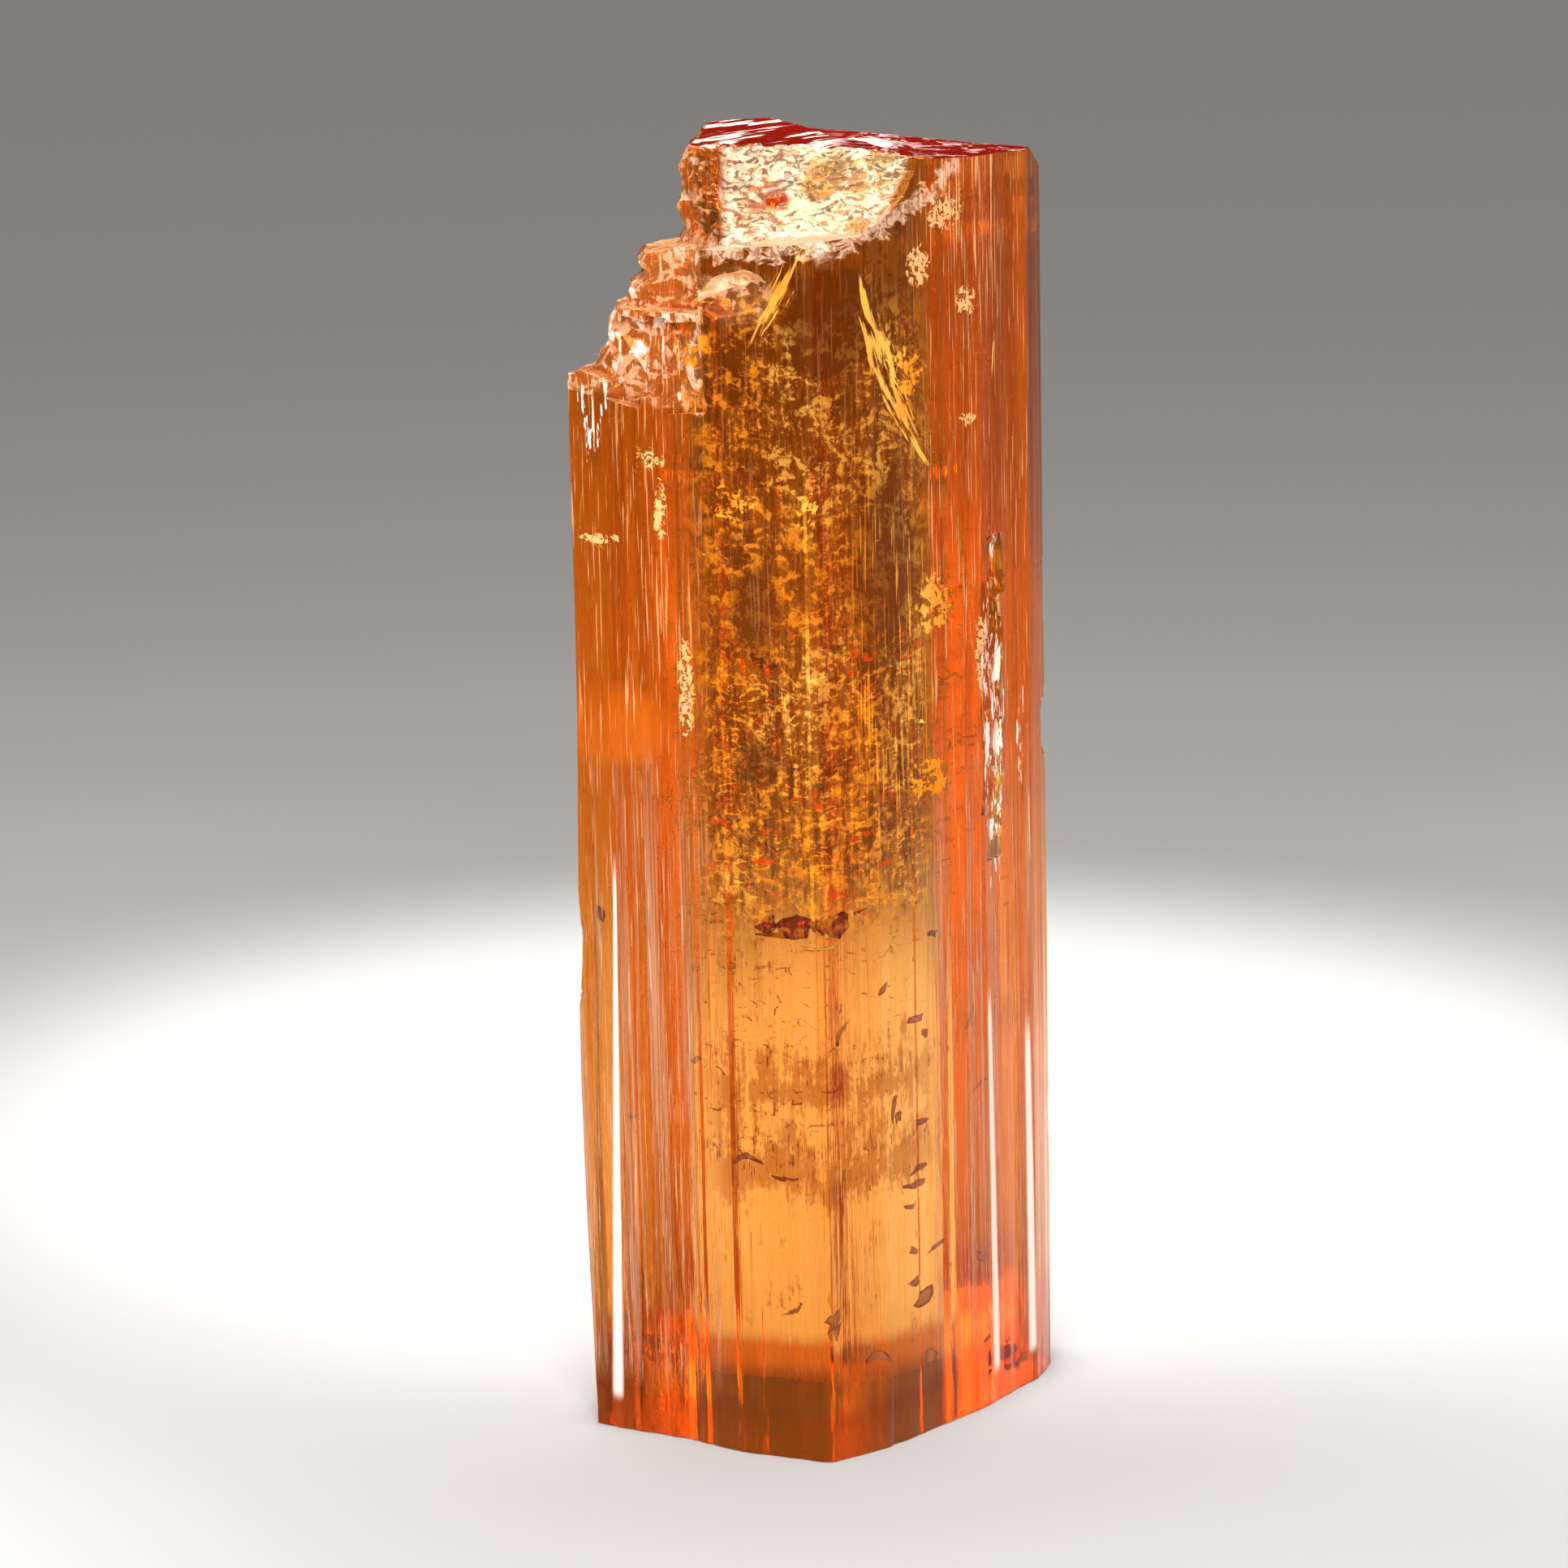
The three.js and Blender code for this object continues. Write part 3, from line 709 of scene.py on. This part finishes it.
# Single specks, scattered all through, until there are so many films in all
FILMS_AND_SPECKS = 2300
while len(films) < FILMS_AND_SPECKS:
    aside, deep = rng.uniform(-7, 7), rng.uniform(-6.5, 6)
    up = rng.choice([rng.uniform(12, 40), rng.normal(25, 5)])
    if within(aside, deep, up, 0.3):
        size = 0.05 + 0.12 * rng.random() ** 2
        spot = np.array([aside, deep, up])
        films.append((spot, rng.normal(0, 1, 3), rng.normal(0, 1, 3), size * 1.4, size, 0.02, 0.3, 0))
# Thin upright ones, just under the side faces
for _ in range(260):
    aside, up = rng.uniform(-8, 8), rng.uniform(18, 41)
    if abs(aside) > 2.5 and within(aside, -0.5, up, 0.2):
        tall = 0.3 + 2.2 * rng.random() ** 3
        facing = (0.1 * aside, -1, 0.1 * rng.normal())
        spot = under_face(aside, up, 0.15 + 0.5 * rng.random())
        films.append((spot, facing, (0, 0, 1), tall, 0.05, 0.02, 0.5, 0.02))
veils = flakes_object("golden_veils", films, rng)

# The long bright crack at the upper right: a plume of fibres, widest where a cluster joins it
feather = []
course = np.array([(1.85, 41.6), (2.2, 40.0), (2.6, 38.4), (3.2, 37.1), (3.7, 36.0), (4.15, 34.7)])
stretches = len(course) - 1
for _ in range(110):
    t = rng.random()
    stretch = min(int(t * stretches), stretches - 1)
    lead = course[stretch + 1] - course[stretch]
    spot = course[stretch] + (t * stretches - stretch) * lead
    spread = 0.3 * math.sin(math.pi * t) ** 2 + 0.03
    across, up = spot[0] + spread * rng.normal(), spot[1] + 0.1 * rng.normal()
    spot = under_face(across, up, 0.9 + 0.3 * rng.random())
    along = (lead[0] + 0.12 * rng.normal(), 0, lead[1])
    length = 0.4 + 1.3 * rng.random()
    facing = (0.3 + 0.3 * rng.normal(), -1, 0.3)
    feather.append((spot, facing, along, length, 0.07 + 0.13 * rng.random(), 0.03, 0.4, 0.15))
# Clusters of bright films: centre, spread both ways, count and size
CLUSTERS = [
    (3.35, 38.0, 0.34, 0.5, 70, 0.34),
    (4.4, 29.8, 0.36, 0.55, 90, 0.3),
    (3.9, 23.6, 0.4, 0.5, 50, 0.3),
    (3.9, 41.3, 0.25, 0.35, 18, 0.25),
    (4.9, 43.6, 0.3, 0.35, 22, 0.3),
    (-2.6, 33.8, 0.5, 0.4, 20, 0.25),
    (-0.2, 33.6, 0.35, 0.35, 16, 0.25),
    (5.6, 40.4, 0.4, 0.2, 10, 0.2),
    (-4.3, 27.6, 0.13, 1.0, 40, 0.3),
]
for across, up, wide, high, count, size in CLUSTERS:
    for _ in range(count):
        spot = under_face(rng.normal(across, wide), rng.normal(up, high), rng.uniform(0.3, 1.2))
        facing = (0.1 * across + 0.4 * rng.normal(), -1, 0.3 + 0.4 * rng.normal())
        length = size * (0.4 + 1.6 * rng.random() ** 2)
        feather.append((spot, facing, rng.normal(0, 1, 3), 1.5 * length, 0.5 * length, 0.03, 0.6, 0.6))
# Single needles and spots: across, up, length, width, lean and depth
NEEDLES = [
    (4.7, 36.2, 3.4, 0.06, 0.25, 1.0),
    (5.2, 31.5, 4.2, 0.06, 0.15, 0.9),
    (5.0, 32.0, 2.2, 0.2, 0.2, 0.9),
    (0.42, 41.0, 2.4, 0.14, 0.0, 0.9),
    (0.75, 41.8, 0.8, 0.12, 0.0, 0.9),
    (5.63, 36.05, 0.42, 0.3, 0.3, 0.3),
    (0.5, 28.0, 0.5, 0.4, 1.5, 0.6),
    (1.7, 21.1, 0.42, 0.38, 0.5, 0.5),
    (6.1, 28.2, 2.6, 0.1, -0.3, 0.3),
    (-5.1, 33.5, 1.8, 0.14, 0.1, 0.3),
    (-5.4, 33.0, 1.2, 0.08, -0.1, 0.3),
    (-6.2, 35.0, 1.4, 0.07, 0.1, 0.2),
    (-1.35, 40.6, 1.5, 0.14, -0.5, 0.9),
    (-1.1, 40.9, 1.7, 0.12, -0.45, 0.8),
    (-0.85, 41.0, 1.5, 0.16, -0.4, 0.7),
    (-1.5, 41.1, 1.1, 0.1, -0.8, 0.8),
    (-0.7, 40.6, 1.2, 0.1, -0.3, 0.9),
    (-7.9, 33.2, 1.9, 0.06, 0.0, 0.15),
]
for across, up, length, width, lean, depth in NEEDLES:
    spot = under_face(across, up, depth)
    feather.append((spot, (0.1 * across, -1, 0.2), (lean, 0, -1), length, width, 0.03, 0.35, 0.12))
# A pale ragged chip and a level crack in the left side face
for _ in range(26):
    spot = under_face(rng.normal(-5.45, 0.26), rng.normal(35.15, 0.2), 0.12 + 0.2 * rng.random())
    length = 0.25 + 0.4 * rng.random()
    facing = (-0.5, -1, 0.2 * rng.normal())
    along = (1, 0, -0.5 + 0.5 * rng.normal())
    feather.append((spot, facing, along, length, 0.45 * length, 0.02, 0.6, 0.3))
for _ in range(24):
    spot = under_face(rng.uniform(-8.0, -6.7), 32.25 + 0.09 * rng.normal(), 0.12 + 0.1 * rng.random())
    length = 0.12 + 0.5 * rng.random() ** 2
    along = (1, 0, 0.5 * rng.normal())
    feather.append((spot, (-0.6, -1, 0), along, length, 0.3 * length, 0.02, 0.6, 0.3))
bright = flakes_object("golden_feather", feather, rng, 9)

sockets = {"Base Color": (1, 0.6, 0.12, 1), "Metallic": 0.2, "Roughness": 0.4}
veils.data.materials.append(plain_material("healed_crack", sockets))
sockets = {"Base Color": (1, 0.74, 0.26, 1), "Roughness": 0.45}
bright.data.materials.append(plain_material("bright_crack", sockets))


# ---- Dark flakes ----
# Thin scales of rust that the crystal closed over as it grew: a deep red row across its middle, and
# small brown ones lower down, with combs of fine brown needles between them.

# Each red scale as flakes_object takes it
red_scales = [
    (under_face(-1.6, 19.1, 0.9), (0, -1, 0.2), (1, 0, 0.4), 1.1, 0.8, 0.02, 0.5, 0.1),
    (under_face(-0.65, 19.15, 0.8), (-0.1, -1, 0.2), (1, 0, 0.15), 1.6, 1.15, 0.02, 0.4, 0.1),
    (under_face(0.45, 19.2, 0.9), (0.1, -1, 0.2), (1, 0, 0.1), 1.7, 1.2, 0.02, 0.45, 0.1),
    (under_face(-1.1, 18.8, 0.9), (0, -1, 0.4), (1, 0, -0.05), 2.4, 0.25, 0.06, 0.4, 0.1),
    (under_face(1.2, 19.5, 0.9), (0.1, -1, 0.2), (1, 0, 0.25), 1.2, 0.14, 0.05, 0.5, 0.1),
    (under_face(3.9, 18.1, 0.7), (0.6, -1, 0.3), (1, 0.6, -0.2), 0.7, 0.4, 0.06, 0.5, 0.2),
    (under_face(-7.5, 18.9, 0.5), (-0.6, -1, 0.3), (0.3, 0, -1), 0.8, 0.45, 0.06, 0.4, 0.1),
    (under_face(1.25, 34.6, 1.0), (0.2, -1, 0.2), (1, 0, 0.1), 0.4, 0.22, 0.06, 0.4, 0.1),
    (under_face(3.6, 25.9, 0.8), (0.6, -1, 0.2), (0.3, 0, 1), 0.9, 0.35, 0.06, 0.5, 0.1),
    (under_face(3.5, 38.0, 0.4), (0.6, -1, 0.2), (1, 0, 0.3), 0.3, 0.25, 0.06, 0.3, 0.1),
    (under_face(-1.5, 28.3, 1.2), (-0.1, -1, 0.3), (1, 0, -0.5), 1.3, 0.6, 0.03, 0.6, 0.3),
    (under_face(-0.9, 27.3, 1.0), (-0.1, -1, 0.3), (1, 0, -0.6), 0.9, 0.35, 0.03, 0.6, 0.3),
]
sockets = {"Base Color": (0.32, 0, 0.008, 1), "Roughness": 0.8, "Specular IOR Level": 0.1}
red = flakes_object("red_scales", red_scales, rng, 12)
red.data.materials.append(plain_material("rust_scale", sockets))

# Across, up, length, width and lean of each brown flake
BROWN = [
    (3.3, 15.2, 0.8, 0.25, 0.2), (3.4, 13.9, 0.6, 0.2, 0.6), (5.2, 14.5, 0.9, 0.14, 1.2),
    (5.6, 12.1, 1.0, 0.14, 0.4), (2.4, 12.2, 0.8, 0.22, 9.0), (3.4, 11.4, 0.6, 0.25, 0.1),
    (3.3, 9.8, 0.9, 0.25, 0.2), (3.2, 9.2, 1.1, 0.3, 0.2), (3.9, 6.7, 1.1, 0.14, 0.3),
    (3.0, 6.8, 0.5, 0.3, -0.4), (5.4, 7.1, 0.5, 0.2, 0.2), (5.5, 5.6, 0.6, 0.35, -0.1),
    (3.4, 4.9, 0.9, 0.5, 0.6), (-0.9, 5.3, 0.85, 0.26, 0.6), (0.3, 5.1, 0.9, 0.4, 1.2),
    (0.2, 4.6, 0.8, 0.22, 9.0), (1.7, 3.4, 1.0, 0.4, 0.1), (1.4, 3.7, 0.4, 0.2, 2.0),
    (3.6, 2.7, 0.7, 0.5, 0.3), (5.7, 2.4, 0.5, 0.15, 0.2), (-1.1, 10.15, 0.7, 0.12, 0.0),
    (-4.3, 14.0, 0.4, 0.25, 0.6), (2.1, 16.6, 0.6, 0.2, 1.6), (0.6, 15.4, 0.9, 0.2, 1.4),
    (2.9, 8.4, 0.5, 0.16, 0.2), (3.6, 14.6, 0.5, 0.3, -0.3), (3.7, 12.8, 0.6, 0.18, 0.2),
    (2.6, 11.9, 0.5, 0.3, 2.0), (3.0, 5.6, 0.6, 0.3, 0.4), (-1.3, 10.0, 0.6, 0.14, 0.0),
    (-6.6, 11.6, 0.3, 0.2, 0.3), (-2.6, 10.8, 0.9, 0.2, 0.1),
]
brown_scales = []
for across, up, length, width, lean in BROWN:
    facing = (0.3 * rng.normal() + 0.1 * across, -1, 0.4 * rng.normal())
    spot = under_face(across, up, 0.4 + 0.5 * rng.random())
    brown_scales.append((spot, facing, (1, 0, lean), 1.5 * length, 1.6 * width, 0.03, 0.6, 0.6))
# Combs of upright needles: how high, from where to where across, and how many
COMBS = [(13.3, -0.2, 3.6, 110), (10.4, -3.0, 3.6, 170), (9.3, 0.2, 2.6, 50)]
for up, left_end, right_end, count in COMBS:
    for _ in range(count):
        across = rng.uniform(left_end, right_end)
        tall = 0.15 + 0.6 * rng.random() ** 2
        spot = under_face(across, up + rng.normal(0, 0.3) + 0.4 * tall, rng.uniform(0.5, 6.0))
        facing = (0.2 * rng.normal(), -1, 0)
        brown_scales.append((spot, facing, (0, 0, 1), tall, 0.035, 0.015, 0.3, 0.02))
# Fine curled ones, scattered between
for _ in range(220):
    spot = under_face(rng.normal(-1.2, 1.4), rng.uniform(10.5, 18), rng.uniform(0.5, 5))
    size = 0.1 + 0.25 * rng.random() ** 2
    facing, along = rng.normal(0, 1, 3), rng.normal(0, 1, 3)
    brown_scales.append((spot, facing, along, size * 2.2, size * 0.3, 0.02, 0.5, 0.8))
enclosed = [flake for flake in brown_scales if within(*flake[0], 0.3)]
brown = flakes_object("brown_scales", enclosed, rng, 9)
sockets = {"Base Color": (0.75, 0.2, 0.06, 1), "Roughness": 0.5}
brown.data.materials.append(plain_material("brown_scale", sockets))


# ---- The studio ----
# A plain pale floor that the crystal stands on, with soft lights close round it, so that the floor is
# bright near the crystal and falls away into the dark behind.

floor_mesh = bpy.data.meshes.new("floor")
REACH = 4.0  # how far the floor runs to each side, in metres
floor_corners = [(-REACH, -REACH, 0), (REACH, -REACH, 0), (REACH, REACH, 0), (-REACH, REACH, 0)]
floor_mesh.from_pydata(floor_corners, [], [(0, 1, 2, 3)])
floor = bpy.data.objects.new("floor", floor_mesh)
floor.location.z = -0.05 * MM  # a little below the base, so that the two faces don't meet
bpy.context.scene.collection.objects.link(floor)
sockets = {"Base Color": (0.7, 0.69, 0.67, 1), "Roughness": 0.7}
floor_mesh.materials.append(plain_material("pale_floor", sockets))

world = bpy.data.worlds.new("studio")
bpy.context.scene.world = world
world.use_nodes = True
sky = Wire(world.node_tree).node("TexCoord", {}, {}, "Generated")
rise = sky.node("SeparateXYZ", {}, {"Vector": sky}, "Z")
shade = rise.eased(0.2, 0.29).mixed((0.04, 0.04, 0.04, 1), (0.32, 0.31, 0.3, 1))
world.node_tree.links.new(shade.socket, world.node_tree.nodes["Background"].inputs["Color"])


def put_light(name, data, place, aim):
    """Puts a light at a place, in millimetres, turned towards what it aims at."""
    light = bpy.data.objects.new(name, data)
    light.location = Vector(place) * MM
    light.rotation_euler = (Vector(aim) - Vector(place)).to_track_quat("-Z", "Y").to_euler()
    light.visible_camera = False
    bpy.context.scene.collection.objects.link(light)


def soft_light(name, place, aim, width, height, brightness):
    """A rectangular soft light with the brightness that its face shows, where a white wall in full
    light is 1."""
    data = bpy.data.lights.new(name, "AREA")
    data.shape = "RECTANGLE"
    data.size, data.size_y = width * MM, height * MM
    data.energy = brightness * math.pi * width * height * MM * MM
    put_light(name, data, place, aim)


def pool_light(name, place, aim, spread, power, size):
    """A spot light that lays a soft round pool on the floor, as wide as its spread in degrees gives."""
    data = bpy.data.lights.new(name, "SPOT")
    data.spot_size = math.radians(spread)
    data.spot_blend = 0.8
    data.shadow_soft_size = size * MM
    data.energy = power
    put_light(name, data, place, aim)


# A pool of light behind, seen through the clear middle, and weaker ones beside the stone
pool_light("pool_behind", (0, 0, 400), (0, 42, 0), 14, 7, 10)
pool_light("pool_left", (-60, 60, 400), (-52, -18, 0), 10, 3.0, 10)
pool_light("pool_right", (60, 60, 400), (50, 12, 0), 10, 3.0, 10)
soft_light("key", (-10, -178, 118), (0, 0, 28), 130, 80, 16)
soft_light("crown", (0, 15, 160), (0, 0, 30), 70, 70, 4)
# Low panels in front, whose light comes back through the sides of the stone
PANEL_DISTANCE, PANEL_HEIGHT = 150, 26
for azimuth, brightness in [(165, 0.45), (195, 0.55)]:
    turn_to = math.radians(azimuth)
    place = (PANEL_DISTANCE * math.sin(turn_to), PANEL_DISTANCE * math.cos(turn_to), PANEL_HEIGHT)
    soft_light(f"panel_{azimuth}", place, (0, 0, PANEL_HEIGHT), 100, 52, brightness)


# ---- The camera ----
# A long lens a little above the crystal, looking down on it, and very slightly tilted.

ROLL = math.radians(-1.22)
PITCH = math.radians(11.43)
CAMERA_PLACE = (-1.046, -166.37, 56.44)  # in millimetres
camera_data = bpy.data.cameras.new("camera")
camera_data.lens = 108.9
camera_data.sensor_width = 36
camera_data.clip_start = 0.01
camera = bpy.data.objects.new("camera", camera_data)
forward = Vector((0, math.cos(PITCH), -math.sin(PITCH)))
side = Vector((1, 0, 0))
upward = side.cross(forward)
across = math.cos(ROLL) * side + math.sin(ROLL) * upward
upright = -math.sin(ROLL) * side + math.cos(ROLL) * upward
turned = Matrix((across, upright, -forward)).transposed().to_4x4()
camera.matrix_world = Matrix.Translation(Vector(CAMERA_PLACE) * MM) @ turned
bpy.context.scene.collection.objects.link(camera)
bpy.context.scene.camera = camera

bpy.context.scene.view_settings.view_transform = "Standard"
cycles = bpy.context.scene.cycles
cycles.max_bounces = 9
cycles.diffuse_bounces = 2
cycles.transmission_bounces = 9
cycles.glossy_bounces = 8
